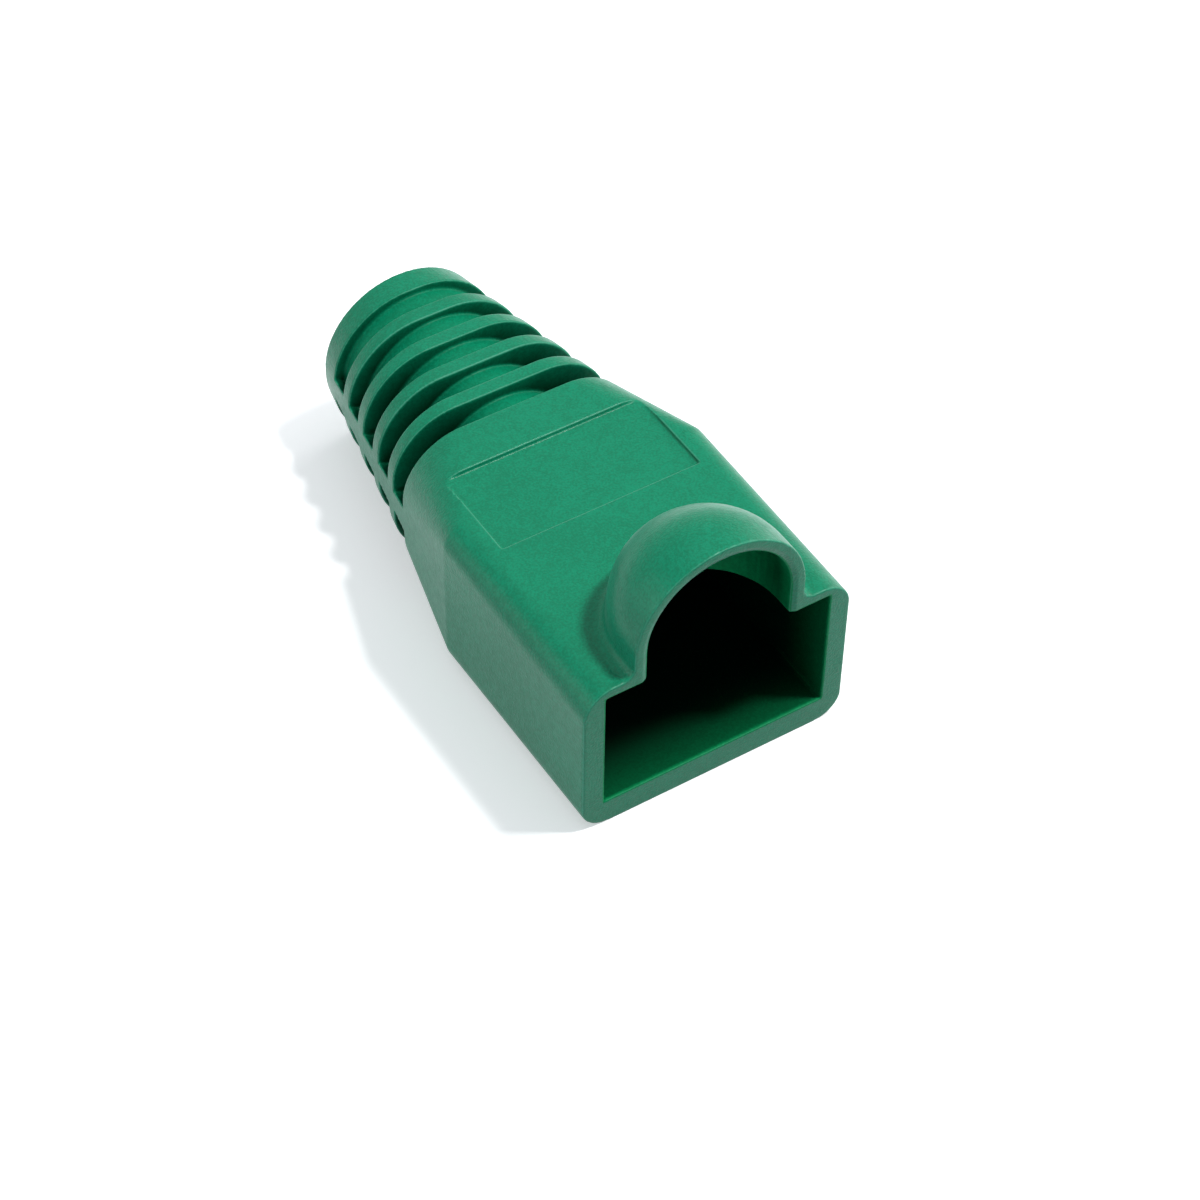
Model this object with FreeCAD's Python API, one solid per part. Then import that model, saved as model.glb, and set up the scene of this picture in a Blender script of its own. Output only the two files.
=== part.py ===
"""Strain relief boot for an eight-way modular plug, in one soft moulding.

A square sleeve slips over the back of the plug, and a half-dome hood on its roof guards the plug's latch.
Behind the sleeve the section draws in to a round tail.  Pairs of slots, cut in from above and from below,
leave a row of rings on a thin inner tube, joined by a web at each side, so that the tail bends with the
cable and never kinks it.

Millimetres.  X runs across the boot, Y from the mouth to the cable end, Z up.
The origin is under the middle of the boot, on the surface that it rests on.
"""
import FreeCAD
import Part
import math
import os

# Overall
LENGTH = 28.6
HEIGHT = 8.93
MID_Z = HEIGHT / 2

# Square sleeve, up to the shoulder where the taper starts
SLEEVE_WIDTH = 14.18
SLEEVE_LENGTH = 12.1
MOUTH_BASE_RADIUS = 1.35
MOUTH_ROOF_RADIUS = 1.6
SHOULDER_BASE_RADIUS = 1.25
SHOULDER_ROOF_RADIUS = 1.3

# Tail, from the first slot to the cable end
TAIL_ROOT = 17.62
ROOT_EDGE_RADIUS = 3.3
END_WIDTH = 8.76
END_EDGE_RADIUS = 4.34

# Space inside: plug pocket, funnel and cable bore
PLUG_WIDTH = 11.9
PLUG_HEIGHT = 6.93
FLOOR_WALL = 1.46
POCKET_DEPTH = 11.4
CABLE_BORE_RADIUS = 3.05
FUNNEL_END = 16.6
CEILING_Z = FLOOR_WALL + PLUG_HEIGHT

# Latch hood
HOOD_RADIUS = 4.48
HOOD_WALL = 0.72
HOOD_AXIS_Z = 10.08
HOOD_STRAIGHT = 1.15
HOOD_FOOT_RADIUS = 0.6
HOOD_BEVEL_WIDTH = 0.29
HOOD_BEVEL_DEPTH = 0.14

# Flexing slots
SLOT_COUNT = 5
SLOT_PITCH = 2.077
SLOT_WIDTH = 1.26
INNER_TUBE_ROOT_RADIUS = 3.82
INNER_TUBE_END_RADIUS = 4.14
WEB_SKIN_HEIGHT = 1.5
WEB_NECK_HEIGHT = 0.72
LEDGE_SLOPE = 33.0

# Label panel, sunk in the roof
PANEL_WIDTH = 10.7
PANEL_FRONT = 9.78
PANEL_LENGTH = 5.25
PANEL_DEPTH = 0.22

# How far a cutting shape reaches past the surface that it opens
OVERCUT = 1.0
ALONG = FreeCAD.Vector(0, 1, 0)
UP = FreeCAD.Vector(0, 0, 1)


def point(x, from_mouth, z):
    """Place a point by its distance behind the mouth."""
    return FreeCAD.Vector(x, from_mouth - LENGTH / 2, z)


def centred_box(width, from_mouth, length, low_z, height):
    """Make a box centred across the boot."""
    return Part.makeBox(width, length, height, point(-width / 2, from_mouth, low_z))


def tail_half_width(from_mouth):
    """Give half the width of the outer skin behind the shoulder, where both sides draw in evenly."""
    share = (from_mouth - SLEEVE_LENGTH) / (LENGTH - SLEEVE_LENGTH)
    return (SLEEVE_WIDTH + (END_WIDTH - SLEEVE_WIDTH) * share) / 2


def rounded_section(from_mouth, width, low_z, high_z, low_radius, high_radius):
    """Draw a closed section across the boot: a rectangle with rounded lower and upper corners."""
    corners = (
        (1, -1, low_z, low_radius),
        (1, 1, high_z, high_radius),
        (-1, 1, high_z, high_radius),
        (-1, -1, low_z, low_radius),
    )
    arcs = []
    for side, level, edge_z, radius in corners:
        edge_x = side * width / 2
        centre_x = edge_x - side * radius
        centre_z = edge_z - level * radius
        reach = radius * math.sqrt(0.5)
        on_side = point(edge_x, from_mouth, centre_z)
        on_level = point(centre_x, from_mouth, edge_z)
        middle = point(centre_x + side * reach, from_mouth, centre_z + level * reach)
        if side * level < 0:
            arcs.append((on_level, middle, on_side))
        else:
            arcs.append((on_side, middle, on_level))
    edges = []
    for index, (start, middle, end) in enumerate(arcs):
        next_start = arcs[(index + 1) % len(arcs)][0]
        edges.append(Part.Arc(start, middle, end).toShape())
        edges.append(Part.LineSegment(end, next_start).toShape())
    return Part.Wire(edges)


def true_plane(face):
    """Redraw a flat, straight-edged face of a loft on a true plane, and leave the others."""
    if isinstance(face.Surface, Part.Plane) or not face.findPlane():
        return face
    corners = [vertex.Point for vertex in face.OuterWire.OrderedVertexes]
    return Part.Face(Part.makePolygon(corners + corners[:1]))


def with_true_planes(solid):
    """Rebuild a lofted solid so that each of its flat faces lies on a true plane."""
    shell = Part.Shell([true_plane(face) for face in solid.Faces])
    shell.sewShape()
    return Part.Solid(shell)


def outer_skin():
    """Make the sleeve and the taper behind it, whose corners grow until the tail is round."""
    root_width = 2 * tail_half_width(TAIL_ROOT)
    sections = [
        rounded_section(0, SLEEVE_WIDTH, 0, HEIGHT, MOUTH_BASE_RADIUS, MOUTH_ROOF_RADIUS),
        rounded_section(
            SLEEVE_LENGTH, SLEEVE_WIDTH, 0, HEIGHT, SHOULDER_BASE_RADIUS, SHOULDER_ROOF_RADIUS
        ),
        rounded_section(TAIL_ROOT, root_width, 0, HEIGHT, ROOT_EDGE_RADIUS, ROOT_EDGE_RADIUS),
        rounded_section(LENGTH, END_WIDTH, 0, HEIGHT, END_EDGE_RADIUS, END_EDGE_RADIUS),
    ]
    return with_true_planes(Part.makeLoft(sections, True, True))


def arch_section(from_mouth, radius, low_z):
    """Draw an arch across the boot: upright sides under a half circle."""
    left_foot = point(-radius, from_mouth, low_z)
    right_foot = point(radius, from_mouth, low_z)
    left_spring = point(-radius, from_mouth, HOOD_AXIS_Z)
    right_spring = point(radius, from_mouth, HOOD_AXIS_Z)
    crown = point(0, from_mouth, HOOD_AXIS_Z + radius)
    return Part.Wire([
        Part.LineSegment(left_foot, right_foot).toShape(),
        Part.LineSegment(right_foot, right_spring).toShape(),
        Part.Arc(right_spring, crown, left_spring).toShape(),
        Part.LineSegment(left_spring, left_foot).toShape(),
    ])


def half_dome(radius, front, low_z):
    """Make an arch from the front to the dome's centre, closed behind by a turned half dome."""
    arch = Part.makeLoft(
        [arch_section(front, radius, low_z), arch_section(HOOD_STRAIGHT, radius, low_z)], True, True
    )
    wall_height = HOOD_AXIS_Z - low_z
    wall = Part.makeCylinder(radius, wall_height, point(0, HOOD_STRAIGHT, low_z), UP, 180)
    cap = Part.makeSphere(radius, point(0, HOOD_STRAIGHT, HOOD_AXIS_Z), UP, 0, 90, 180)
    return arch.multiFuse([wall, cap]).removeSplitter()


def foot_profile(side):
    """Draw the hollow curve between the roof and the hood's wall, closed inside the wall."""
    wall_x = side * HOOD_RADIUS
    inner_x = side * (HOOD_RADIUS - HOOD_WALL / 2)
    toe_x = side * (HOOD_RADIUS + HOOD_FOOT_RADIUS)
    reach = HOOD_FOOT_RADIUS * (1 - math.sqrt(0.5))
    toe = point(toe_x, 0, HEIGHT)
    hollow = point(wall_x + side * reach, 0, HEIGHT + reach)
    top = point(wall_x, 0, HEIGHT + HOOD_FOOT_RADIUS)
    inner_top = point(inner_x, 0, HEIGHT + HOOD_FOOT_RADIUS)
    inner_low = point(inner_x, 0, CEILING_Z)
    toe_low = point(toe_x, 0, CEILING_Z)
    return Part.Face(Part.Wire([
        Part.Arc(toe, hollow, top).toShape(),
        Part.LineSegment(top, inner_top).toShape(),
        Part.LineSegment(inner_top, inner_low).toShape(),
        Part.LineSegment(inner_low, toe_low).toShape(),
        Part.LineSegment(toe_low, toe).toShape(),
    ]))


def hood_foot():
    """Carry the foot's hollow curve along the left side, round the back and along the right side."""
    run = ALONG * HOOD_STRAIGHT
    left = foot_profile(-1).extrude(run)
    right_profile = foot_profile(1)
    right = right_profile.extrude(run)
    back = right_profile.translated(run).revolve(point(0, HOOD_STRAIGHT, 0), UP, 180)
    return [left, right, back]


def hooded_skin():
    """Stand the hood on the roof, with its foot blended into the roof."""
    return outer_skin().multiFuse([half_dome(HOOD_RADIUS, 0, CEILING_Z)] + hood_foot()).removeSplitter()


def plug_pocket():
    """Make the plug's pocket, the four-sided funnel behind it and the cable's round bore."""
    half_width = PLUG_WIDTH / 2
    pocket = centred_box(PLUG_WIDTH, -OVERCUT, POCKET_DEPTH + OVERCUT, FLOOR_WALL, PLUG_HEIGHT)
    throat_low = MID_Z - CABLE_BORE_RADIUS
    throat_high = MID_Z + CABLE_BORE_RADIUS
    funnel = Part.makeWedge(
        -half_width, 0, FLOOR_WALL, throat_low, -CABLE_BORE_RADIUS,
        half_width, FUNNEL_END - POCKET_DEPTH, CEILING_Z, throat_high, CABLE_BORE_RADIUS,
    )
    funnel.translate(point(0, POCKET_DEPTH, 0))
    bore_length = LENGTH - FUNNEL_END + OVERCUT
    bore = Part.makeCylinder(CABLE_BORE_RADIUS, bore_length, point(0, FUNNEL_END, MID_Z), ALONG)
    return pocket.multiFuse([funnel, bore])


def latch_space():
    """Make the space under the hood, open to the pocket below and bevelled at the mouth."""
    radius = HOOD_RADIUS - HOOD_WALL
    low_z = CEILING_Z - OVERCUT
    hollow = half_dome(radius, -OVERCUT, low_z)
    flare = HOOD_BEVEL_WIDTH / HOOD_BEVEL_DEPTH
    bevel = Part.makeLoft([
        arch_section(-OVERCUT, radius + HOOD_BEVEL_WIDTH + flare * OVERCUT, CEILING_Z),
        arch_section(HOOD_BEVEL_DEPTH, radius, CEILING_Z),
    ], True, True)
    return hollow.fuse(bevel)


def inner_tube(from_mouth):
    """Make the stretch of the inner tube across one slot; its wall grows evenly to the cable end."""
    growth = (INNER_TUBE_END_RADIUS - INNER_TUBE_ROOT_RADIUS) / (LENGTH - TAIL_ROOT)
    radius = INNER_TUBE_ROOT_RADIUS + growth * (from_mouth - TAIL_ROOT)
    return Part.makeCone(radius, radius + growth * SLOT_WIDTH, SLOT_WIDTH, point(0, from_mouth, MID_Z), ALONG)


def side_webs(from_mouth):
    """Make both webs across one slot: a bar whose ledges lean in from the skin to a thinner neck."""
    skin_x = tail_half_width(from_mouth + SLOT_WIDTH / 2)
    slope = math.tan(math.radians(LEDGE_SLOPE))
    half_neck = WEB_NECK_HEIGHT / 2
    neck_x = skin_x - (WEB_SKIN_HEIGHT / 2 - half_neck) / slope
    outer_x = skin_x + OVERCUT
    half_outer = WEB_SKIN_HEIGHT / 2 + slope * OVERCUT
    outline = [
        (-outer_x, -half_outer), (-neck_x, -half_neck), (neck_x, -half_neck), (outer_x, -half_outer),
        (outer_x, half_outer), (neck_x, half_neck), (-neck_x, half_neck), (-outer_x, half_outer),
    ]
    corners = [point(x, from_mouth, MID_Z + height) for x, height in outline]
    wire = Part.makePolygon(corners + corners[:1])
    return Part.Face(wire).extrude(ALONG * SLOT_WIDTH)


def slot_pair(from_mouth):
    """Make the space of an upper slot and a lower one: a plate less the inner tube and the webs."""
    across = SLEEVE_WIDTH
    plate = centred_box(across, from_mouth, SLOT_WIDTH, MID_Z - across / 2, across)
    return plate.cut(inner_tube(from_mouth).fuse(side_webs(from_mouth)))


def label_panel():
    """Make the shallow bare recess across the roof, whose ends run out over the rounded edges."""
    return centred_box(PANEL_WIDTH, PANEL_FRONT, PANEL_LENGTH, HEIGHT - PANEL_DEPTH, OVERCUT)


def boot():
    """Take the inner space, the slots and the label panel away from the hooded skin."""
    slots = [slot_pair(TAIL_ROOT + index * SLOT_PITCH) for index in range(SLOT_COUNT)]
    cuts = [plug_pocket(), latch_space(), label_panel()] + slots
    return hooded_skin().cut(cuts).removeSplitter()


def main():
    """Write the boot as one solid."""
    os.makedirs("parts", exist_ok=True)
    shape = boot()
    print(f"boot: {len(shape.Solids)} solid, valid {shape.isValid()}, {shape.Volume:.0f} cubic mm")
    shape.Solids[0].exportStep("parts/boot.step")


main()
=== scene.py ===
"""Strain relief boot for an eight-way modular plug: its moulded skin, finish and studio.

Every mesh is in metres in the row's frame: X across the boot, Y from the mouth to the cable end, Z up,
with the origin under the middle of the boot.  Sizes are named in millimetres.
"""
import logging
import math
from dataclasses import dataclass, field
from enum import Enum, IntEnum

import bmesh
import bpy
from mathutils import Matrix, Vector
from mathutils.bvhtree import BVHTree

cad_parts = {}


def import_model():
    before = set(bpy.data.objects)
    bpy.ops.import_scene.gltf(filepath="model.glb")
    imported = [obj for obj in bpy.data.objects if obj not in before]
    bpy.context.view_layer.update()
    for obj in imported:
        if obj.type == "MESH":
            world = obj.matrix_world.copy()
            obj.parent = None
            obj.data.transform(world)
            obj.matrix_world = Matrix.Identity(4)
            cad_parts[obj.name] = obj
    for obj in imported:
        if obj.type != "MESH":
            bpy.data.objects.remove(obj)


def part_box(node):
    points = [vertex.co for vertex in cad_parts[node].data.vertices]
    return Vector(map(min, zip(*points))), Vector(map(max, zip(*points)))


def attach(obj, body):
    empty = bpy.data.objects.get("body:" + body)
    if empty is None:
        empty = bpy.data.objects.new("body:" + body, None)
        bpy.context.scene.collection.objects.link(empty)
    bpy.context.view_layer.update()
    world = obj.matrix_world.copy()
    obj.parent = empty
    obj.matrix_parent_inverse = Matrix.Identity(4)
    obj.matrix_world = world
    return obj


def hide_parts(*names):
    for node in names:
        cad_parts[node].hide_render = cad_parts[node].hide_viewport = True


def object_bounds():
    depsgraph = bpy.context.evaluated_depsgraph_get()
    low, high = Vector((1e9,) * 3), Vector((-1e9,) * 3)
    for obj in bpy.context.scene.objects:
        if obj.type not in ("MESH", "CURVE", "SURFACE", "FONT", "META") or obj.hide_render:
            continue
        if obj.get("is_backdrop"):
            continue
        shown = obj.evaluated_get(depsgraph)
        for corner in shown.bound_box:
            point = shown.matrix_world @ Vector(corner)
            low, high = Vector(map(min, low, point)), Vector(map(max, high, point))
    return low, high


MM = 0.001
ARC_STEPS = 16
WELD_REACH = 1e-7
OCCLUSION_FOR_PAINTED_SHADE = "recess"
WORN_EDGE_AND_HIGHLIGHT = "worn_edge_and_highlight"
log = logging.getLogger("boot")

Section = list[Vector]


class Carve(Enum):
    """What a second solid does to the first."""

    JOIN = "UNION"
    CUT = "DIFFERENCE"


class MouldPart(IntEnum):
    """The part of the mould that shapes a wall, and the place of its finish on the boot."""

    CAVITY = 0
    CORE = 1
    BLADES = 2


class MixInput(IntEnum):
    """Where the Mix node takes its values, which it holds once for each data type."""

    SHARE = 0
    FIRST_VALUE = 2
    SECOND_VALUE = 3
    FIRST_COLOUR = 6
    SECOND_COLOUR = 7


class MixOutput(IntEnum):
    """Where the Mix node gives its result, which it holds once for each data type."""

    VALUE = 0
    COLOUR = 2


def to_linear(code: str) -> tuple[float, float, float, float]:
    """Turn an sRGB hex colour into the linear colour that a shader takes, by the curve of the sRGB standard.

    Args:
        code: Six hex digits, with or without a leading #.

    Returns:
        Red, green, blue and an alpha of 1.
    """
    digits = code.lstrip("#")
    shares = [int(digits[place:place + 2], 16) / 255 for place in (0, 2, 4)]
    red, green, blue = (
        share / 12.92 if share <= 0.04045 else ((share + 0.055) / 1.055) ** 2.4 for share in shares
    )
    return red, green, blue, 1.0


def add_node(tree: bpy.types.NodeTree, kind: str, inputs: dict | None = None, **settings) -> bpy.types.Node:
    """Add a node with its settings and inputs.

    Args:
        tree: The node tree that gets the node.
        kind: The node's type name.
        inputs: Socket name or number to a value, or to the output socket that feeds it.
        settings: Properties of the node itself.

    Returns:
        The new node.
    """
    node = tree.nodes.new(kind)
    for name, value in settings.items():
        setattr(node, name, value)
    for key, value in (inputs or {}).items():
        if isinstance(value, bpy.types.NodeSocket):
            tree.links.new(value, node.inputs[key])
        else:
            node.inputs[key].default_value = value
    return node


def pattern_scale(size: float) -> float:
    """Turn the size of a pattern's lumps or cells, in millimetres, into a texture's scale."""
    return 1 / (size * MM)


def place(across: float, from_mouth: float, height: float, length: float) -> Vector:
    """Turn millimetres measured from the mouth into a point of the row's frame.

    Args:
        across: Distance to the right of the middle.
        from_mouth: Distance behind the mouth.
        height: Distance above the base.
        length: The boot's whole length.

    Returns:
        The point, in metres.
    """
    return Vector((across, from_mouth - length / 2, height)) * MM


def mesh_object(name: str, build: bmesh.types.BMesh) -> bpy.types.Object:
    """Turn finished mesh data into an object at the origin, with its faces outwards.

    Args:
        name: The object's name.
        build: The mesh data, which is freed.

    Returns:
        The object, linked to the scene.
    """
    bmesh.ops.remove_doubles(build, verts=build.verts, dist=WELD_REACH)
    bmesh.ops.recalc_face_normals(build, faces=build.faces)
    mesh = bpy.data.meshes.new(name)
    build.to_mesh(mesh)
    build.free()
    made = bpy.data.objects.new(name, mesh)
    bpy.context.scene.collection.objects.link(made)
    return made


def lofted(name: str, sections: list[Section]) -> bpy.types.Object:
    """Skin a row of closed sections with the same number of points, and cap both ends.

    Args:
        name: The object's name.
        sections: The sections in order.

    Returns:
        A closed solid.
    """
    build = bmesh.new()
    rings = [[build.verts.new(spot) for spot in section] for section in sections]
    count = len(rings[0])
    for near, far in zip(rings, rings[1:]):
        for index in range(count):
            after = (index + 1) % count
            build.faces.new((near[index], near[after], far[after], far[index]))
    build.faces.new(rings[0][::-1])
    build.faces.new(rings[-1])
    return mesh_object(name, build)


def plain_copy(source: bpy.types.Object, name: str) -> bpy.types.Object:
    """Apply an object's modifiers, and put the result in its place as a plain mesh.

    Args:
        source: The object with live modifiers, which is removed.
        name: The new object's name.

    Returns:
        The plain object.
    """
    graph = bpy.context.evaluated_depsgraph_get()
    mesh = bpy.data.meshes.new_from_object(source.evaluated_get(graph), depsgraph=graph)
    mesh.name = name
    remove(source)
    made = bpy.data.objects.new(name, mesh)
    bpy.context.scene.collection.objects.link(made)
    return made


def remove(unwanted: bpy.types.Object) -> None:
    """Remove an object together with its mesh.

    Args:
        unwanted: The object.
    """
    mesh = unwanted.data
    bpy.data.objects.remove(unwanted)
    bpy.data.meshes.remove(mesh)


def carved(solid: bpy.types.Object, tool: bpy.types.Object, how: Carve) -> bpy.types.Object:
    """Join a tool to a solid, or cut it out of the solid.

    Args:
        solid: The solid that is worked on.
        tool: The second solid, which is removed afterwards.
        how: Whether the tool is joined or cut out.

    Returns:
        The worked solid.
    """
    modifier = solid.modifiers.new("carve", "BOOLEAN")
    modifier.operation = how.value
    modifier.solver = "EXACT"
    modifier.object = tool
    bpy.context.view_layer.update()
    name = solid.name
    result = plain_copy(solid, name)
    remove(tool)
    return result


@dataclass
class TaperedSkin:
    """The outer skin: a square sleeve, and a taper whose corners grow until the tail is round."""

    length: float = 28.6
    height: float = 8.93
    sleeve_width: float = 14.18
    sleeve_length: float = 12.1
    mouth_base_radius: float = 1.35
    mouth_roof_radius: float = 1.6
    shoulder_base_radius: float = 1.25
    shoulder_roof_radius: float = 1.3
    tail_root: float = 17.62
    root_edge_radius: float = 3.3
    end_width: float = 8.76
    end_edge_radius: float = 4.34

    def half_width(self, from_mouth: float) -> float:
        """Give half the skin's width, which draws in evenly behind the shoulder."""
        share = (from_mouth - self.sleeve_length) / (self.length - self.sleeve_length)
        return (self.sleeve_width + (self.end_width - self.sleeve_width) * max(share, 0)) / 2

    def section(
        self, from_mouth: float, width: float, low: float, high: float, low_radius: float, high_radius: float
    ) -> Section:
        """Draw a rectangle with rounded lower and upper corners across the boot.

        Args:
            from_mouth: The section's distance behind the mouth.
            width: The rectangle's width.
            low: The height of its lower side.
            high: The height of its upper side.
            low_radius: The radius of its lower corners.
            high_radius: The radius of its upper corners.

        Returns:
            The points, in order round the section.
        """
        corners = (
            (width / 2 - low_radius, low + low_radius, low_radius, -90),
            (width / 2 - high_radius, high - high_radius, high_radius, 0),
            (high_radius - width / 2, high - high_radius, high_radius, 90),
            (low_radius - width / 2, low + low_radius, low_radius, 180),
        )
        points = []
        for centre_x, centre_z, radius, start in corners:
            for step in range(ARC_STEPS + 1):
                angle = math.radians(start + 90 * step / ARC_STEPS)
                across = centre_x + radius * math.cos(angle)
                points.append(place(across, from_mouth, centre_z + radius * math.sin(angle), self.length))
        return points

    def solid(self) -> bpy.types.Object:
        """Loft the whole outer skin, without its hood.

        Returns:
            A closed solid.
        """
        root_width = 2 * self.half_width(self.tail_root)
        root, end = self.root_edge_radius, self.end_edge_radius
        stations = (
            (0, self.sleeve_width, self.mouth_base_radius, self.mouth_roof_radius),
            (self.sleeve_length, self.sleeve_width, self.shoulder_base_radius, self.shoulder_roof_radius),
            (self.tail_root, root_width, root, root),
            (self.length, self.end_width, end, end),
        )
        return lofted("boot_skin", [
            self.section(from_mouth, width, 0, self.height, base_radius, roof_radius)
            for from_mouth, width, base_radius, roof_radius in stations
        ])


@dataclass
class PlugPocket:
    """The space inside: the plug's pocket, the funnel behind it and the cable's bore."""

    skin: TaperedSkin
    width: float = 11.9
    floor: float = 1.46
    ceiling: float = 8.39
    depth: float = 11.4
    funnel_end: float = 16.6
    bore_radius: float = 3.05
    overcut: float = 1.0

    def cutter(self) -> bpy.types.Object:
        """Loft the whole inner space, reaching past both ends of the boot.

        Returns:
            The space as a closed solid.
        """
        middle = self.skin.height / 2
        low, high = middle - self.bore_radius, middle + self.bore_radius
        pocket = (self.width, self.floor, self.ceiling, 0)
        bore = (2 * self.bore_radius, low, high, self.bore_radius)
        stations = (
            (-self.overcut, pocket),
            (self.depth, pocket),
            (self.funnel_end, bore),
            (self.skin.length + self.overcut, bore),
        )
        return lofted("pocket_cutter", [
            self.skin.section(from_mouth, width, base, top, radius, radius)
            for from_mouth, (width, base, top, radius) in stations
        ])


@dataclass
class LatchHood:
    """The half-dome hood that guards the plug's latch, with the hollow curve at its foot."""

    skin: TaperedSkin
    pocket: PlugPocket
    radius: float = 4.48
    wall: float = 0.72
    axis_height: float = 10.08
    straight: float = 1.15
    foot_radius: float = 0.6
    bevel_width: float = 0.29
    bevel_depth: float = 0.14

    def arch(self, from_mouth: float, radius: float, base: float) -> Section:
        """Draw an arch across the boot: upright sides under a half circle.

        Args:
            from_mouth: The section's distance behind the mouth.
            radius: Half the arch's width.
            base: The height of its feet.

        Returns:
            The points, from the right foot over the crown to the left foot.
        """
        reach = [(radius, base)]
        for step in range(2 * ARC_STEPS + 1):
            angle = math.radians(90 * step / ARC_STEPS)
            reach.append((radius * math.cos(angle), self.axis_height + radius * math.sin(angle)))
        reach.append((-radius, base))
        return [place(across, from_mouth, height, self.skin.length) for across, height in reach]

    def half_dome(self, name: str, front: float, radius: float, base: float, foot: float) -> bpy.types.Object:
        """Turn a wall and dome profile round the back, and carry it forward as an arch.

        Args:
            name: The object's name.
            front: Where the arch starts, behind the mouth.
            radius: The radius of wall and dome.
            base: The height of the solid's underside.
            foot: The radius of the hollow curve where the wall meets the roof, or 0 for none.

        Returns:
            A closed solid.
        """
        profile = [(radius + foot, base)]
        for step in range(ARC_STEPS // 2 + 1 if foot else 0):
            angle = math.radians(270 - 180 * step / ARC_STEPS)
            centre_height = self.skin.height + foot
            profile.append((radius + foot + foot * math.cos(angle), centre_height + foot * math.sin(angle)))
        for step in range(ARC_STEPS + 1):
            angle = math.radians(90 * step / ARC_STEPS)
            profile.append((radius * math.cos(angle), self.axis_height + radius * math.sin(angle)))
        turns = [math.pi * step / (2 * ARC_STEPS) for step in range(2 * ARC_STEPS + 1)]
        stations = [(0.0, front)] + [(turn, self.straight) for turn in turns] + [(math.pi, front)]
        build = bmesh.new()
        columns = [
            [
                build.verts.new(place(
                    reach * math.cos(turn), centre + reach * math.sin(turn), height, self.skin.length
                ))
                for reach, height in profile
            ]
            for turn, centre in stations
        ]
        for near, far in zip(columns, columns[1:]):
            for low in range(len(profile) - 1):
                build.faces.new((near[low], near[low + 1], far[low + 1], far[low]))
        build.faces.new(columns[0] + columns[-1][-2::-1])
        build.faces.new([column[0] for column in columns])
        return mesh_object(name, build)

    def solid(self) -> bpy.types.Object:
        """Make the hood's outside and its foot, down to the pocket's ceiling."""
        return self.half_dome("hood", 0, self.radius, self.pocket.ceiling, self.foot_radius)

    def cutters(self) -> list[bpy.types.Object]:
        """Make the latch's space under the hood, and the bevel round its mouth.

        Returns:
            The latch's space, then the bevel's.
        """
        inner = self.radius - self.wall
        overcut = self.pocket.overcut
        ceiling = self.pocket.ceiling
        grown = inner + self.bevel_width * (1 + overcut / self.bevel_depth)
        bevel = [self.arch(-overcut, grown, ceiling), self.arch(self.bevel_depth, inner, ceiling)]
        return [
            self.half_dome("latch_cutter", -overcut, inner, ceiling - overcut, 0),
            lofted("latch_bevel", bevel),
        ]


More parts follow.
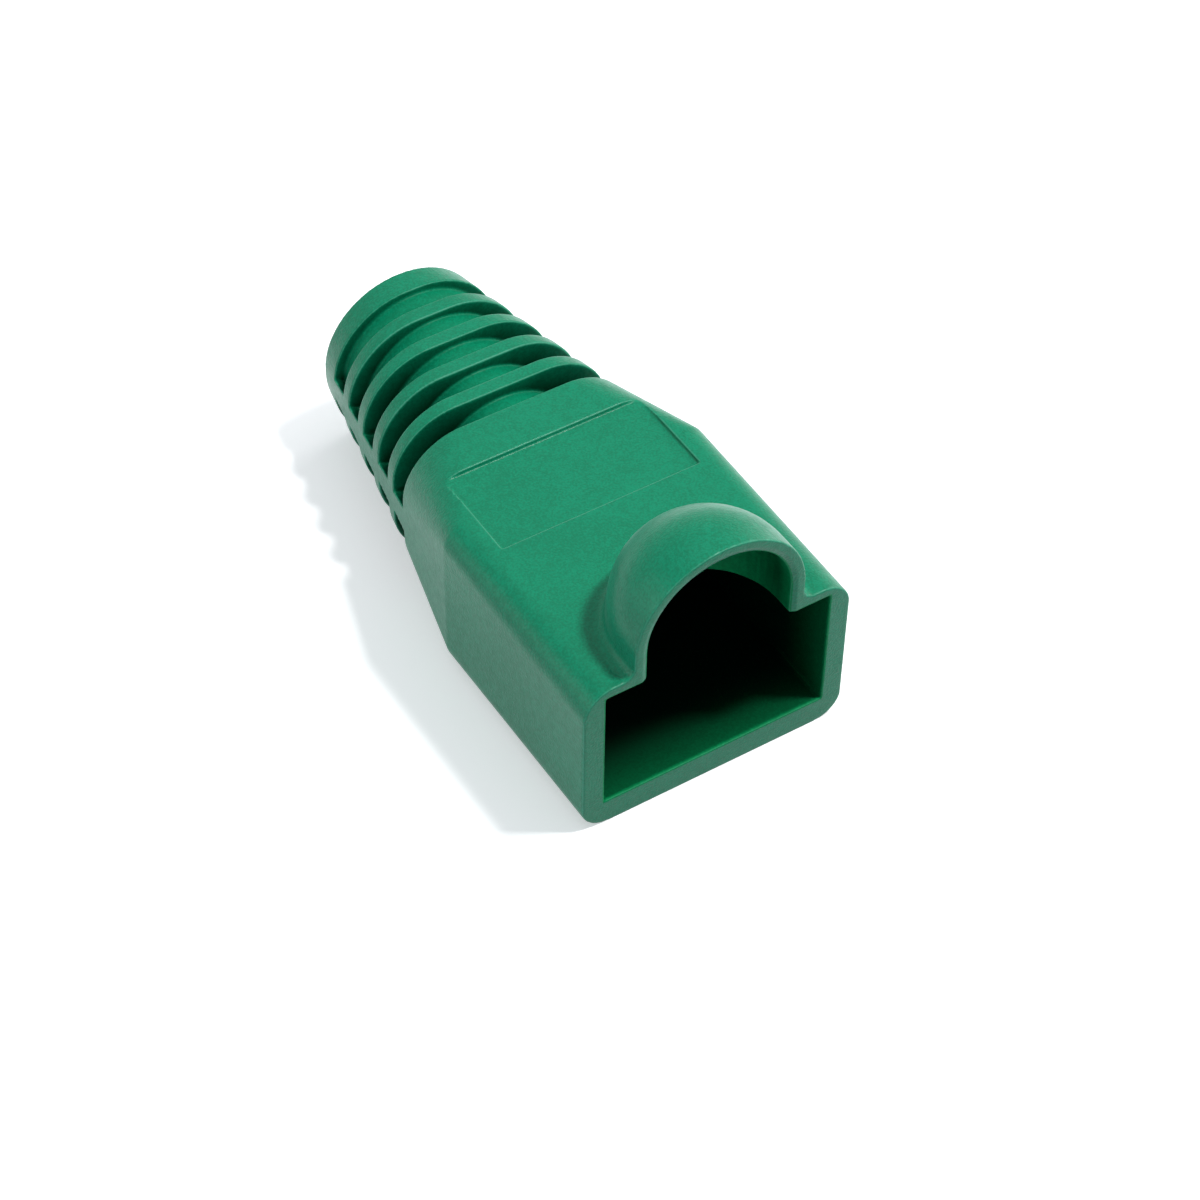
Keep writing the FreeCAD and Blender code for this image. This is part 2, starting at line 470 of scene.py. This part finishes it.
@dataclass
class FlexSlots:
    """Pairs of slots that leave a row of rings on a thin inner tube, joined by a web at each side."""

    skin: TaperedSkin
    count: int = 5
    pitch: float = 2.077
    width: float = 1.26
    tube_root_radius: float = 3.82
    tube_end_radius: float = 4.14
    web_skin_height: float = 1.5
    web_neck_height: float = 0.72
    ledge_slope: float = 33.0
    web_overlap: float = 0.2
    overcut: float = 1.0

    def web(self) -> bpy.types.Object:
        """Make one web: a bar whose ledges lean in from the skin, at X zero, to a thinner neck.

        Returns:
            A closed solid, a little longer than the slot is wide.
        """
        slope = math.tan(math.radians(self.ledge_slope))
        neck = self.web_neck_height / 2
        edge = self.web_skin_height / 2
        outer = edge + slope * self.overcut
        inset = (edge - neck) / slope
        buried = self.tube_root_radius
        outline = (
            (self.overcut, -outer), (self.overcut, outer), (-inset, neck),
            (-buried, neck), (-buried, -neck), (-inset, -neck),
        )
        half = self.width / 2 + self.web_overlap
        return lofted("web", [
            [Vector((across, along, height)) * MM for across, height in outline] for along in (-half, half)
        ])

    def rule(self) -> bpy.types.NodeTree:
        """Build the node tree that sets out the slots' space from the row's sizes.

        Returns:
            The tree, with a named input for each size.
        """
        tree = bpy.data.node_groups.new("slot_row", "GeometryNodeTree")
        tree.interface.new_socket(name="Web", in_out="INPUT", socket_type="NodeSocketGeometry")
        tree.interface.new_socket(name="Slots", in_out="INPUT", socket_type="NodeSocketInt")
        for name in (
            "Pitch", "First slot", "Slot width", "Across", "Middle height",
            "Tube start", "Tube length", "Tube start radius", "Tube end radius",
            "Skin half width", "Taper a slot",
        ):
            tree.interface.new_socket(name=name, in_out="INPUT", socket_type="NodeSocketFloat")
        tree.interface.new_socket(name="Finish", in_out="INPUT", socket_type="NodeSocketMaterial")
        tree.interface.new_socket(name="Space", in_out="OUTPUT", socket_type="NodeSocketGeometry")
        given = add_node(tree, "NodeGroupInput").outputs
        start = add_node(tree, "ShaderNodeCombineXYZ", {
            "Y": given["First slot"], "Z": given["Middle height"],
        })
        step = add_node(tree, "ShaderNodeCombineXYZ", {"Y": given["Pitch"]})
        row = add_node(tree, "GeometryNodeMeshLine", {
            "Count": given["Slots"], "Start Location": start.outputs[0], "Offset": step.outputs[0],
        })
        space = add_node(tree, "GeometryNodeMeshBoolean", {
            "Mesh 1": self.plates(tree, given, row.outputs[0]),
        }, operation="DIFFERENCE", solver="EXACT")
        for kept in (self.tube(tree, given), *self.webs(tree, given, row.outputs[0])):
            tree.links.new(kept, space.inputs["Mesh 2"])
        whole = add_node(tree, "GeometryNodeRealizeInstances", {"Geometry": space.outputs[0]})
        dressed = add_node(tree, "GeometryNodeSetMaterial", {
            "Geometry": whole.outputs[0], "Material": given["Finish"],
        })
        add_node(tree, "NodeGroupOutput", {"Space": dressed.outputs[0]})
        return tree

    def plates(
        self, tree: bpy.types.NodeTree, given: bpy.types.NodeOutputs, row: bpy.types.NodeSocket
    ) -> bpy.types.NodeSocket:
        """Set a plate on each point of the row, as wide and high as the whole boot.

        Args:
            tree: The node tree that gets the nodes.
            given: The tree's inputs.
            row: A point in the middle of each slot.

        Returns:
            The plates.
        """
        size = add_node(tree, "ShaderNodeCombineXYZ", {
            "X": given["Across"], "Y": given["Slot width"], "Z": given["Across"],
        })
        plate = add_node(tree, "GeometryNodeMeshCube", {"Size": size.outputs[0]})
        plates = add_node(tree, "GeometryNodeInstanceOnPoints", {"Points": row, "Instance": plate.outputs[0]})
        return add_node(tree, "GeometryNodeRealizeInstances", {"Geometry": plates.outputs[0]}).outputs[0]

    def tube(self, tree: bpy.types.NodeTree, given: bpy.types.NodeOutputs) -> bpy.types.NodeSocket:
        """Lay the inner tube along the boot, growing evenly to the cable end.

        Args:
            tree: The node tree that gets the nodes.
            given: The tree's inputs.

        Returns:
            The tube.
        """
        cone = add_node(tree, "GeometryNodeMeshCone", {
            "Vertices": 4 * ARC_STEPS, "Radius Bottom": given["Tube start radius"],
            "Radius Top": given["Tube end radius"], "Depth": given["Tube length"],
        })
        start = add_node(tree, "ShaderNodeCombineXYZ", {
            "Y": given["Tube start"], "Z": given["Middle height"],
        })
        return add_node(tree, "GeometryNodeTransform", {
            "Geometry": cone.outputs[0], "Translation": start.outputs[0],
            "Rotation": (-math.pi / 2, 0, 0),
        }).outputs[0]

    def webs(
        self, tree: bpy.types.NodeTree, given: bpy.types.NodeOutputs, row: bpy.types.NodeSocket
    ) -> list[bpy.types.NodeSocket]:
        """Set a web at each end of every slot, following the taper of the skin.

        Args:
            tree: The node tree that gets the nodes.
            given: The tree's inputs.
            row: A point in the middle of each slot.

        Returns:
            The webs of the right side, then those of the left.
        """
        index = add_node(tree, "GeometryNodeInputIndex")
        lost = add_node(tree, "ShaderNodeMath", {
            0: index.outputs[0], 1: given["Taper a slot"],
        }, operation="MULTIPLY")
        side = add_node(tree, "ShaderNodeMath", {
            0: given["Skin half width"], 1: lost.outputs[0],
        }, operation="SUBTRACT")
        both = []
        for sign, turn in ((1, 0), (-1, math.pi)):
            across = add_node(tree, "ShaderNodeMath", {0: side.outputs[0], 1: sign}, operation="MULTIPLY")
            shift = add_node(tree, "ShaderNodeCombineXYZ", {"X": across.outputs[0]})
            spots = add_node(tree, "GeometryNodeSetPosition", {"Geometry": row, "Offset": shift.outputs[0]})
            webs = add_node(tree, "GeometryNodeInstanceOnPoints", {
                "Points": spots.outputs[0], "Instance": given["Web"], "Rotation": (0, 0, turn),
            })
            real = add_node(tree, "GeometryNodeRealizeInstances", {"Geometry": webs.outputs[0]})
            both.append(real.outputs[0])
        return both

    def cutter(self, finish: bpy.types.Material) -> bpy.types.Object:
        """Run the rule on the web, and keep its result as one plain mesh.

        Args:
            finish: The material of the slots' walls.

        Returns:
            The space of every upper and lower slot.
        """
        root = self.skin.tail_root
        middle = root + self.width / 2
        half_width = self.skin.half_width(middle)
        tail = self.skin.length - root
        growth = (self.tube_end_radius - self.tube_root_radius) / tail
        sizes = {
            "Slots": self.count,
            "Pitch": self.pitch * MM,
            "First slot": (middle - self.skin.length / 2) * MM,
            "Slot width": self.width * MM,
            "Across": self.skin.sleeve_width * MM,
            "Middle height": self.skin.height / 2 * MM,
            "Tube start": (root - self.overcut - self.skin.length / 2) * MM,
            "Tube length": (tail + 2 * self.overcut) * MM,
            "Tube start radius": (self.tube_root_radius - growth * self.overcut) * MM,
            "Tube end radius": (self.tube_end_radius + growth * self.overcut) * MM,
            "Skin half width": half_width * MM,
            "Taper a slot": (half_width - self.skin.half_width(middle + self.pitch)) * MM,
            "Finish": finish,
        }
        web = self.web()
        modifier = web.modifiers.new("slot_row", "NODES")
        modifier.node_group = self.rule()
        for socket in modifier.node_group.interface.items_tree:
            if socket.name in sizes:
                modifier[socket.identifier] = sizes[socket.name]
        return plain_copy(web, "slot_cutter")


@dataclass
class LabelPanel:
    """The shallow bare recess across the roof, whose ends run out over the rounded edges."""

    skin: TaperedSkin
    front: float = 9.78
    width: float = 10.7
    length: float = 5.25
    depth: float = 0.22
    overcut: float = 1.0

    def cutter(self) -> bpy.types.Object:
        """Make the recess's space, reaching past the roof.

        Returns:
            The space as a closed solid.
        """
        roof = self.skin.height
        return lofted("panel_cutter", [
            self.skin.section(from_mouth, self.width, roof - self.depth, roof + self.overcut, 0, 0)
            for from_mouth in (self.front, self.front + self.length)
        ])


@dataclass
class Boot:
    """The whole boot, moulded in one piece."""

    skin: TaperedSkin = field(default_factory=TaperedSkin)
    grain_step: float = 0.05
    softening: int = 15
    softening_share: float = 0.5
    triangles: int = 180_000
    edge_loss: float = 0.036
    sky_rays: int = 48
    first_look: int = 6
    core_reach: float = 0.08
    # The walls of the tools that shape the inside: the pocket, the hood's hollow and, last, the slot blades.
    tool_walls: list[BVHTree] = field(default_factory=list)

    def shape(self, finish: bpy.types.Material) -> bpy.types.Object:
        """Join the hood to the skin, and cut out the inner space, the panel and the slots.

        Args:
            finish: The material that the slot cutter carries.

        Returns:
            The boot with sharp edges.
        """
        pocket = PlugPocket(self.skin)
        hood = LatchHood(self.skin, pocket)
        solid = carved(self.skin.solid(), hood.solid(), Carve.JOIN)
        tools = [pocket.cutter(), *hood.cutters(), LabelPanel(self.skin).cutter()]
        tools.append(FlexSlots(self.skin).cutter(finish))
        graph = bpy.context.evaluated_depsgraph_get()
        self.tool_walls.extend(BVHTree.FromObject(tool, graph) for tool in (*tools[:2], tools[-1]))
        for tool in tools:
            solid = carved(solid, tool, Carve.CUT)
        return solid

    def mark_worn_and_highlit_edges(self, piece: bpy.types.Object, sharp: BVHTree) -> None:
        """Mark where an edge was rounded off, from 0 on a flat face to 1 on a full edge.

        Args:
            piece: The finished boot, which gets the mark as a point attribute.
            sharp: The faces of the boot before its edges were rounded.
        """
        mark = piece.data.attributes.new(WORN_EDGE_AND_HIGHLIGHT, "FLOAT", "POINT")
        for vertex in piece.data.vertices:
            spot, normal, _, _ = sharp.find_nearest(vertex.co)
            loss = (spot - vertex.co).dot(normal) / (self.edge_loss * MM)
            mark.data[vertex.index].value = min(max(loss, 0.0), 1.0)

    def mark_occlusion_for_painted_shade(self, piece: bpy.types.Object) -> None:
        """Mark how much of the sky the boot's own walls hide from each point, from 0 in the open to 1 where
        all of it is hidden. The material paints shade by this mark.

        Args:
            piece: The finished boot, which gets the mark as a point attribute.
        """
        walls = BVHTree.FromObject(piece, bpy.context.evaluated_depsgraph_get())
        sky = []
        for index in range(self.sky_rays):
            share = (index + 0.5) / self.sky_rays
            turn = index * math.pi * (3 - math.sqrt(5))
            flat = math.sqrt(share)
            sky.append(Vector((flat * math.cos(turn), flat * math.sin(turn), math.sqrt(1 - share))))
        up = Vector((0, 0, 1))
        occlusion = []
        for vertex in piece.data.vertices:
            start = vertex.co + vertex.normal * self.grain_step * MM
            turn = up.rotation_difference(vertex.normal)
            hits = 0
            for rays in (sky[::self.first_look], sky):
                hits = sum(walls.ray_cast(start, turn @ ray)[0] is not None for ray in rays)
                if not hits:
                    break
            occlusion.append(hits / self.sky_rays)
        mark = piece.data.attributes.new(OCCLUSION_FOR_PAINTED_SHADE, "FLOAT", "POINT")
        mark.data.foreach_set("value", occlusion)

    def softened(self, solid: bpy.types.Object, name: str) -> bpy.types.Object:
        """Round every edge and inner corner by about 0.15 mm, as soft vinyl comes out of its mould.

        Args:
            solid: The boot with sharp edges, which is removed.
            name: The new object's name.

        Returns:
            The rounded boot, as one even closed skin.
        """
        skin = solid.modifiers.new("even_skin", "REMESH")
        skin.mode = "VOXEL"
        skin.voxel_size = self.grain_step * MM
        rounding = solid.modifiers.new("rounding", "SMOOTH")
        rounding.factor = self.softening_share
        rounding.iterations = self.softening
        fine = plain_copy(solid, name)
        thinning = fine.modifiers.new("thinning", "DECIMATE")
        thinning.ratio = self.triangles / (2 * len(fine.data.polygons))
        thinning.use_collapse_triangulate = True
        normals = fine.modifiers.new("flat_faces_stay_flat", "WEIGHTED_NORMAL")
        normals.mode = "FACE_AREA"
        fine.data.shade_smooth()
        return plain_copy(fine, name)

    def dress(self, piece: bpy.types.Object, finishes: tuple[bpy.types.Material, ...]) -> None:
        """Give each wall the finish of the mould part that shaped it.

        Args:
            piece: The finished boot.
            finishes: The finish of each part of the mould, in the order of MouldPart.
        """
        piece.data.materials.clear()
        for finish in finishes:
            piece.data.materials.append(finish)
        for face in piece.data.polygons:
            gaps = [wall.find_nearest(face.center)[3] for wall in self.tool_walls]
            nearest = min(gaps)
            if nearest >= self.core_reach * MM:
                face.material_index = MouldPart.CAVITY
            elif nearest == gaps[-1]:
                face.material_index = MouldPart.BLADES
            else:
                face.material_index = MouldPart.CORE

    def make(self, finishes: tuple[bpy.types.Material, ...]) -> bpy.types.Object:
        """Build the boot and soften its edges as a mould leaves them.

        Args:
            finishes: The finish of each part of the mould, in the order of MouldPart.

        Returns:
            The finished piece, riding on the boot's body.
        """
        solid = self.shape(finishes[0])
        sharp = BVHTree.FromObject(solid, bpy.context.evaluated_depsgraph_get())
        piece = self.softened(solid, "strain_relief_boot")
        self.dress(piece, finishes)
        low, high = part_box("boot")
        for vertex in piece.data.vertices:
            vertex.co = [min(max(at, least), most) for at, least, most in zip(vertex.co, low, high)]
        self.mark_worn_and_highlit_edges(piece, sharp)
        self.mark_occlusion_for_painted_shade(piece)
        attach(piece, "root")
        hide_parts("boot")
        return piece


@dataclass(frozen=True)
class SoftPvc:
    """Soft PVC, injection moulded: a plasticised vinyl that takes the skin of the mould's steel."""

    name: str = "moulded_soft_pvc_eroded_skin"
    # The pigment is a rich dark bluish green. Edges look paler: partly wear, where the plasticised vinyl is
    # scuffed and lets some light through, and partly a painted highlight of the light that rounded edges
    # catch. Walls that the boot's own shape hides from the sky get painted shade, nearly black.
    body: str = "#06805D"
    shade: str = "#037150"
    # Painted shade: the near-black colour of walls that the boot's own shape hides from the sky.
    painted_shade: str = "#011C12"
    # Wear and painted highlight: the pale green of rounded edges.
    worn_and_highlight: str = "#6CC2A4"
    dust: str = "#A9C8BD"
    # Spark-eroded steel leaves a fine satin skin: no mirror image, a weak broad shine that turns milky where
    # a face is seen at a low angle, and a trace of bloom, the plasticiser that has come to the surface.
    roughness: float = 0.3
    ior: float = 1.45
    gloss: float = 0.2
    bloom: float = 0.13
    bloom_spread: float = 0.34
    bloom_tint: str = "#E4F0F6"
    # Sizes of the patterns, in millimetres. The eroded grain is about 0.03 mm, too fine to show, so it is
    # drawn at 0.11 mm and 0.03 mm deep. The mottle follows the melt's flow, 0.45 mm across, and the cloud the
    # uneven pigment, 5 mm across. Dust is drawn up to 0.09 mm across and 2.6 mm apart, coarser than it is.
    relief: float = 0.03
    grain: float = 0.11
    mottle: float = 0.45
    cloud: float = 5.0
    speck_spacing: float = 2.6
    speck_radius: float = 0.045
    # Weights of mottle and cloud beside the grain, and their sum where the darker shade begins and is full.
    mottle_weight: float = 0.5
    cloud_weight: float = 0.4
    shade_from: float = 0.82
    shade_to: float = 1.08
    # Marks on the mesh: where wear and the painted highlight begin to show and are full, and how far the sky
    # is hidden from a point where its painted shade begins and is darkest.
    worn_and_highlight_from: float = 0.1
    worn_and_highlight_to: float = 0.9
    worn_and_highlight_share: float = 0.4
    painted_shade_from: float = 0.3
    painted_shade_to: float = 0.85
    dust_share: float = 0.55
    smoother: float = 0.08
    rougher: float = 0.12
    relief_strength: float = 0.6

    def material(self) -> bpy.types.Material:
        """Build the material.

        Returns:
            The finish of one side of the moulding.
        """
        made = bpy.data.materials.new(self.name)
        made.use_nodes = True
        tree = made.node_tree
        tree.nodes.clear()
        spot = add_node(tree, "ShaderNodeTexCoord").outputs["Object"]
        mottle = add_node(tree, "ShaderNodeTexNoise", {
            "Vector": spot, "Scale": pattern_scale(self.mottle), "Detail": 4.0, "Roughness": 0.6,
        })
        grain = add_node(tree, "ShaderNodeTexNoise", {
            "Vector": spot, "Scale": pattern_scale(self.grain), "Detail": 2.0, "Roughness": 0.5,
        })
        texture = add_node(tree, "ShaderNodeMath", {
            0: mottle.outputs["Fac"], 1: self.mottle_weight, 2: grain.outputs["Fac"],
        }, operation="MULTIPLY_ADD")
        pigment = self.pigment(tree, spot, texture.outputs[0])
        surface = self.dusty(tree, spot, self.marked(tree, pigment))
        rough = add_node(tree, "ShaderNodeMapRange", {
            "Value": mottle.outputs["Fac"],
            "To Min": self.roughness - self.smoother, "To Max": self.roughness + self.rougher,
        })
        bump = add_node(tree, "ShaderNodeBump", {
            "Height": texture.outputs[0], "Strength": self.relief_strength, "Distance": self.relief * MM,
        })
        shader = add_node(tree, "ShaderNodeBsdfPrincipled", {
            "Base Color": surface, "Roughness": rough.outputs[0], "Normal": bump.outputs[0],
            "IOR": self.ior, "Specular IOR Level": self.gloss,
            "Sheen Weight": self.bloom, "Sheen Roughness": self.bloom_spread,
            "Sheen Tint": to_linear(self.bloom_tint),
        })
        add_node(tree, "ShaderNodeOutputMaterial", {"Surface": shader.outputs[0]})
        return made

    def pigment(
        self, tree: bpy.types.NodeTree, spot: bpy.types.NodeSocket, texture: bpy.types.NodeSocket
    ) -> bpy.types.NodeSocket:
        """Vary the green between its body colour and its darker shade.

        Args:
            tree: The material's node tree.
            spot: The place on the boot.
            texture: The sum of mottle and grain.

        Returns:
            The colour of clean unworn vinyl.
        """
        cloud = add_node(tree, "ShaderNodeTexNoise", {
            "Vector": spot, "Scale": pattern_scale(self.cloud), "Detail": 3.0, "Roughness": 0.55,
        })
        whole = add_node(tree, "ShaderNodeMath", {
            0: cloud.outputs["Fac"], 1: self.cloud_weight, 2: texture,
        }, operation="MULTIPLY_ADD")
        share = add_node(tree, "ShaderNodeMapRange", {
            "Value": whole.outputs[0], "From Min": self.shade_from, "From Max": self.shade_to,
        })
        return add_node(tree, "ShaderNodeMix", {
            MixInput.SHARE: share.outputs[0],
            MixInput.FIRST_COLOUR: to_linear(self.body), MixInput.SECOND_COLOUR: to_linear(self.shade),
        }, data_type="RGBA").outputs[MixOutput.COLOUR]

    def marked(self, tree: bpy.types.NodeTree, pigment: bpy.types.NodeSocket) -> bpy.types.NodeSocket:
        """Make edges paler, as wear and painted highlight, and darken walls hidden from the sky with painted
        shade, by the marks on the mesh.

        Args:
            tree: The material's node tree.
            pigment: The colour of clean unworn vinyl.

        Returns:
            The colour with both marks.
        """
        # Wear and painted highlight: rounded edges are mixed towards a pale green.
        edge = add_node(tree, "ShaderNodeAttribute", attribute_name=WORN_EDGE_AND_HIGHLIGHT).outputs["Fac"]
        rubbed_and_highlit = add_node(tree, "ShaderNodeMapRange", {
            "Value": edge, "From Min": self.worn_and_highlight_from, "From Max": self.worn_and_highlight_to, "To Max": self.worn_and_highlight_share,
        }, interpolation_type="SMOOTHSTEP")
        worn_and_highlight = add_node(tree, "ShaderNodeMix", {
            MixInput.SHARE: rubbed_and_highlit.outputs[0],
            MixInput.FIRST_COLOUR: pigment, MixInput.SECOND_COLOUR: to_linear(self.worn_and_highlight),
        }, data_type="RGBA")
        # Painted shade: points hidden from the sky are mixed towards the near-black colour.
        recess = add_node(tree, "ShaderNodeAttribute", attribute_name=OCCLUSION_FOR_PAINTED_SHADE).outputs["Fac"]
        occlusion = add_node(tree, "ShaderNodeMapRange", {
            "Value": recess, "From Min": self.painted_shade_from, "From Max": self.painted_shade_to,
        }, interpolation_type="SMOOTHSTEP")
        return add_node(tree, "ShaderNodeMix", {
            MixInput.SHARE: occlusion.outputs[0],
            MixInput.FIRST_COLOUR: worn_and_highlight.outputs[MixOutput.COLOUR],
            MixInput.SECOND_COLOUR: to_linear(self.painted_shade),
        }, data_type="RGBA").outputs[MixOutput.COLOUR]

    def dusty(
        self, tree: bpy.types.NodeTree, spot: bpy.types.NodeSocket, clean: bpy.types.NodeSocket
    ) -> bpy.types.NodeSocket:
        """Scatter pale specks of dust, each up to the speck radius.

        Args:
            tree: The material's node tree.
            spot: The place on the boot.
            clean: The colour without dust.

        Returns:
            The colour with dust.
        """
        specks = add_node(tree, "ShaderNodeTexVoronoi", {
            "Vector": spot, "Scale": pattern_scale(self.speck_spacing),
        })
        chance = add_node(tree, "ShaderNodeSeparateColor", {"Color": specks.outputs["Color"]})
        reach = add_node(tree, "ShaderNodeMath", {
            0: chance.outputs["Red"], 1: self.speck_radius / self.speck_spacing,
        }, operation="MULTIPLY")
        inside = add_node(tree, "ShaderNodeMath", {
            0: specks.outputs["Distance"], 1: reach.outputs[0],
        }, operation="LESS_THAN")
        share = add_node(tree, "ShaderNodeMath", {
            0: inside.outputs[0], 1: self.dust_share,
        }, operation="MULTIPLY")
        return add_node(tree, "ShaderNodeMix", {
            MixInput.SHARE: share.outputs[0],
            MixInput.FIRST_COLOUR: clean, MixInput.SECOND_COLOUR: to_linear(self.dust),
        }, data_type="RGBA").outputs[MixOutput.COLOUR]


@dataclass(frozen=True)
class SoftLamp:
    """A square lamp behind a diffuser."""

    name: str
    spot: tuple[float, float, float]
    size: float
    watts: float

    def hang(self, target: Vector) -> None:
        """Hang the lamp and turn it to the boot.

        Args:
            target: The point that the lamp faces.
        """
        data = bpy.data.lights.new(self.name, "AREA")
        data.shape = "SQUARE"
        data.size = self.size
        data.energy = self.watts
        lamp = bpy.data.objects.new(self.name, data)
        lamp.location = self.spot
        lamp.rotation_euler = (target - lamp.location).to_track_quat("-Z", "Y").to_euler()
        bpy.context.scene.collection.objects.link(lamp)


@dataclass(frozen=True)
class Studio:
    """A pale floor, soft lamps and the camera."""

    camera_place: tuple[float, float, float] = (-0.05506, -0.08963, 0.11071)
    right: tuple[float, float, float] = (0.84652, -0.53223, 0.01185)
    up: tuple[float, float, float] = (0.38158, 0.62213, 0.68365)
    lens: float = 94.11
    sensor_width: float = 36.0
    sight: tuple[float, float] = (0.005, 20.0)
    floor_size: float = 4.0
    floor_cells: int = 8
    floor_gap: float = 0.01
    paper: str = "#F2F2F2"
    paper_bounce: str = "#B8BEC4"
    paper_glow: float = 0.4
    sky: str = "#DEEAF8"
    sky_strength: float = 0.33
    background: str = "#FFFFFF"
    background_strength: float = 1.0
    lamps: tuple[SoftLamp, ...] = (
        SoftLamp("overhead_lamp", (0.02, 0.05, 0.33), 0.30, 0.17),
        SoftLamp("side_lamp", (0.133, -0.083, 0.324), 0.04, 1.0),
        SoftLamp("left_lamp", (-0.30, 0.10, 0.12), 0.20, 0.32),
        SoftLamp("right_lamp", (0.32, 0.04, 0.13), 0.20, 0.55),
    )

    def camera(self) -> None:
        """Set up the camera."""
        data = bpy.data.cameras.new("camera")
        data.lens = self.lens
        data.sensor_width = self.sensor_width
        data.clip_start, data.clip_end = self.sight
        right = Vector(self.right)
        up = Vector(self.up)
        camera = bpy.data.objects.new("camera", data)
        turn = Matrix((right, up, right.cross(up))).transposed()
        camera.matrix_world = Matrix.Translation(self.camera_place) @ turn.to_4x4()
        bpy.context.scene.collection.objects.link(camera)
        bpy.context.scene.camera = camera

    def shown_white(self, tree: bpy.types.NodeTree) -> bpy.types.NodeSocket:
        """Tell the rays that show the background from those that only carry light.

        Args:
            tree: The node tree of the floor or the world.

        Returns:
            One for camera, glossy and transmission rays, and zero for the others.
        """
        path = add_node(tree, "ShaderNodeLightPath").outputs
        glossy = add_node(tree, "ShaderNodeMath", {
            0: path["Is Camera Ray"], 1: path["Is Glossy Ray"],
        }, operation="MAXIMUM")
        every = add_node(tree, "ShaderNodeMath", {
            0: glossy.outputs[0], 1: path["Is Transmission Ray"],
        }, operation="MAXIMUM")
        return every.outputs[0]

    def floor(self) -> None:
        """Lay the pale paper that the boot stands on, a hair below it so that no two faces share a plane."""
        build = bmesh.new()
        sunk = Matrix.Translation((0, 0, -self.floor_gap * MM))
        bmesh.ops.create_grid(
            build, x_segments=self.floor_cells, y_segments=self.floor_cells,
            size=self.floor_size / 2, matrix=sunk,
        )
        floor = mesh_object("floor", build)
        # Uncoated paper, pressed smooth: it scatters light evenly and has no shine, so the ground stays white
        # and the boot's shadow soft. Its fibres are about 0.03 mm wide, too fine to show, and stay plain.
        made = bpy.data.materials.new("pressed_matt_paper")
        made.use_nodes = True
        tree = made.node_tree
        tree.nodes.clear()
        shown = self.shown_white(tree)
        colour = add_node(tree, "ShaderNodeMix", {
            MixInput.SHARE: shown,
            MixInput.FIRST_COLOUR: to_linear(self.paper_bounce),
            MixInput.SECOND_COLOUR: to_linear(self.paper),
        }, data_type="RGBA").outputs[MixOutput.COLOUR]
        glow = add_node(tree, "ShaderNodeMath", {0: shown, 1: self.paper_glow}, operation="MULTIPLY")
        matt = add_node(tree, "ShaderNodeBsdfDiffuse", {"Color": colour})
        lift = add_node(tree, "ShaderNodeEmission", {"Strength": glow.outputs[0]})
        both = add_node(tree, "ShaderNodeAddShader", {0: matt.outputs[0], 1: lift.outputs[0]})
        add_node(tree, "ShaderNodeOutputMaterial", {"Surface": both.outputs[0]})
        floor.data.materials.append(made)
        floor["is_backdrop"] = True

    def world(self) -> None:
        """Light the room evenly and softly, behind a white background."""
        world = bpy.data.worlds.new("pale_room")
        world.use_nodes = True
        tree = world.node_tree
        tree.nodes.clear()
        shown = self.shown_white(tree)
        strength = add_node(tree, "ShaderNodeMix", {
            MixInput.SHARE: shown,
            MixInput.FIRST_VALUE: self.sky_strength, MixInput.SECOND_VALUE: self.background_strength,
        }).outputs[MixOutput.VALUE]
        colour = add_node(tree, "ShaderNodeMix", {
            MixInput.SHARE: shown,
            MixInput.FIRST_COLOUR: to_linear(self.sky), MixInput.SECOND_COLOUR: to_linear(self.background),
        }, data_type="RGBA").outputs[MixOutput.COLOUR]
        room = add_node(tree, "ShaderNodeBackground", {"Color": colour, "Strength": strength})
        add_node(tree, "ShaderNodeOutputWorld", {"Surface": room.outputs[0]})
        bpy.context.scene.world = world

    def build(self, middle: Vector) -> None:
        """Set up the whole studio.

        Args:
            middle: The boot's middle, which the lamps face.
        """
        self.camera()
        self.floor()
        self.world()
        for lamp in self.lamps:
            lamp.hang(middle)
        bpy.context.scene.view_settings.view_transform = "Standard"


def main() -> None:
    """Build the boot and its studio, and report each piece."""
    logging.basicConfig(level=logging.INFO, format="%(name)s: %(message)s")
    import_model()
    cad_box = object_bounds()
    Studio().build((cad_box[0] + cad_box[1]) / 2)
    # The core leaves a skin without shine or bloom. Its colours are a shaded copy of the vinyl, a purer green
    # with a near-black painted shade, so the pocket looks dark and pure green.
    shaded_core_side = SoftPvc(
        name="moulded_soft_pvc_blasted_core_shaded", body="#06864F", shade="#037845", painted_shade="#00140A",
        roughness=0.42, gloss=0.05, bloom=0.0, relief=0.012, painted_shade_from=0.46, painted_shade_to=0.7,
    )
    # The blades leave a smooth skin with less shine. Its colours are a slightly darker shaded copy of the
    # vinyl with its own painted shade, so the slots look a purer, deeper green.
    shaded_blade_side = SoftPvc(
        name="moulded_soft_pvc_ground_blades_shaded", body="#067E5A", shade="#036F4D", painted_shade="#00210E",
        roughness=0.36, gloss=0.1, bloom=0.0, relief=0.012, painted_shade_from=0.36, painted_shade_to=0.95,
    )
    finishes = tuple(side.material() for side in (SoftPvc(), shaded_core_side, shaded_blade_side))
    piece = Boot().make(finishes)
    log.info("%s: %d faces", piece.name, len(piece.data.polygons))


if __name__ == "__main__":
    main()
